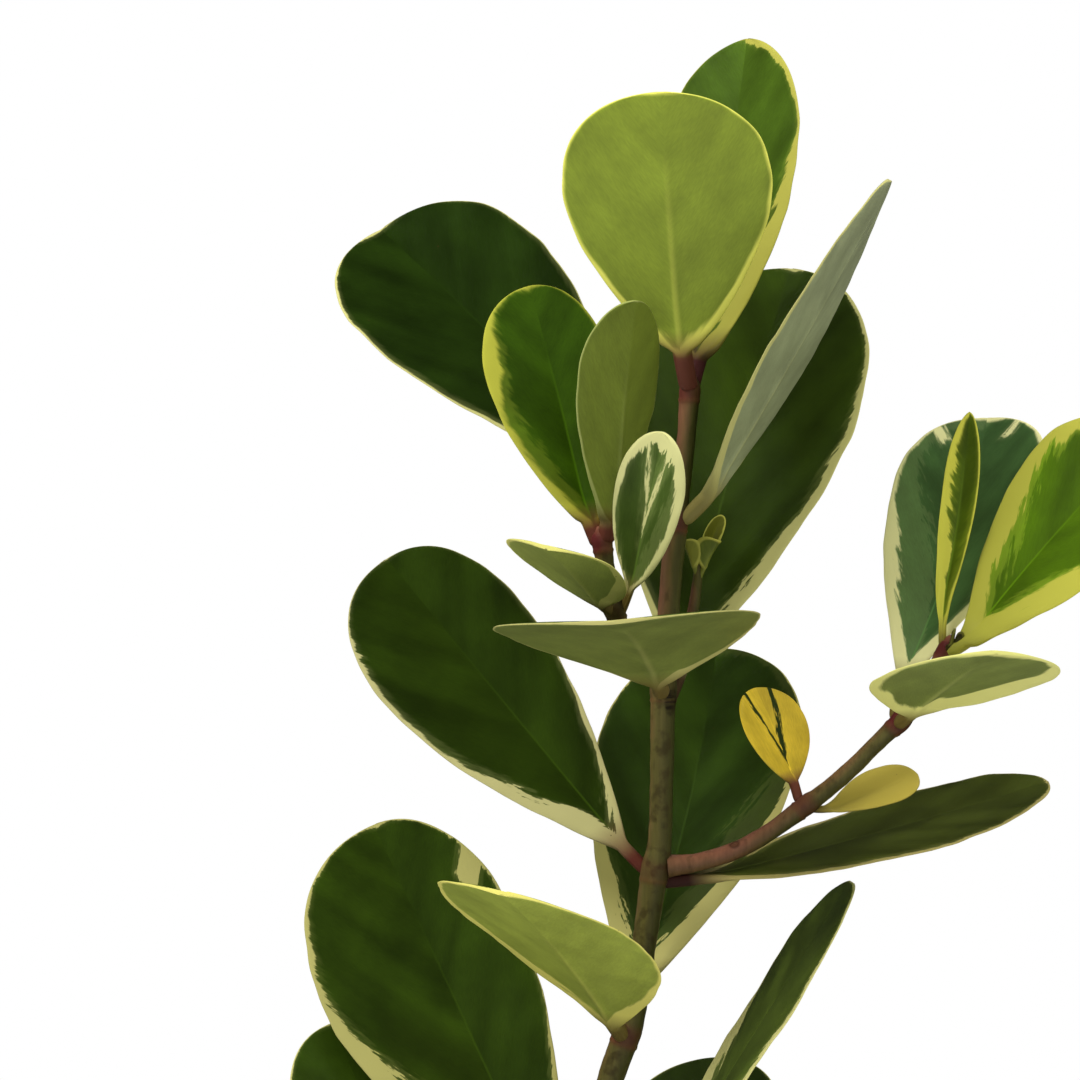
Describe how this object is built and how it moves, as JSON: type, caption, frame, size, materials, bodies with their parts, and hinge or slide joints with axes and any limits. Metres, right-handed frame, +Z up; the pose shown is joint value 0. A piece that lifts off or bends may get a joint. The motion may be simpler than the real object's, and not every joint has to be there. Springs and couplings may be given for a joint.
{
  "type": "potted plant",
  "caption": "Young clusia with thick, rounded, dark green leaves edged in cream, in opposite pairs on fleshy reddish stems, growing in a plain tapered clay pot",
  "frame": {"origin": "middle of the pot's flat underside", "axes": "+Z up, +X to the right and +Y away from the viewer as the plant is pictured"},
  "size_m": [0.2797, 0.1899, 0.61],
  "materials": {
    "clay": "matte, unglazed",
    "soil": "matte, crumbly",
    "stem": "smooth, slightly waxy",
    "leaf": "glossy and dark above, matte and lighter beneath, cream at the edge",
    "young_leaf": "soft gloss, yellow green"
  },
  "bodies": {
    "root": {"pot": "clay", "soil": "soil", "main_stem": "stem", "right_branch": "stem", "upper_left_branch": "stem", "lower_left_branch": "stem", "young_shoot": "young_leaf", "crown_front_leaf": "leaf", "crown_back_leaf": "leaf", "second_left_leaf": "leaf", "second_right_leaf": "leaf", "third_front_leaf": "leaf", "third_back_leaf": "leaf", "fourth_left_leaf": "leaf", "fourth_right_leaf": "leaf", "fifth_front_leaf": "leaf", "fifth_back_leaf": "leaf", "sixth_left_leaf": "leaf", "sixth_right_leaf": "leaf", "seventh_back_leaf": "leaf", "seventh_front_leaf": "leaf", "upper_low_left_leaf": "leaf", "upper_low_right_leaf": "young_leaf", "upper_tip_left_leaf": "young_leaf", "upper_tip_right_leaf": "leaf", "right_low_upper_leaf": "young_leaf", "right_low_lower_leaf": "young_leaf", "right_middle_front_leaf": "leaf", "right_middle_back_leaf": "leaf", "right_tip_left_leaf": "leaf", "right_tip_right_leaf": "young_leaf", "lower_low_left_leaf": "leaf", "lower_low_right_leaf": "leaf", "lower_tip_left_leaf": "leaf", "lower_tip_right_leaf": "leaf"}
  },
  "joints": []
}
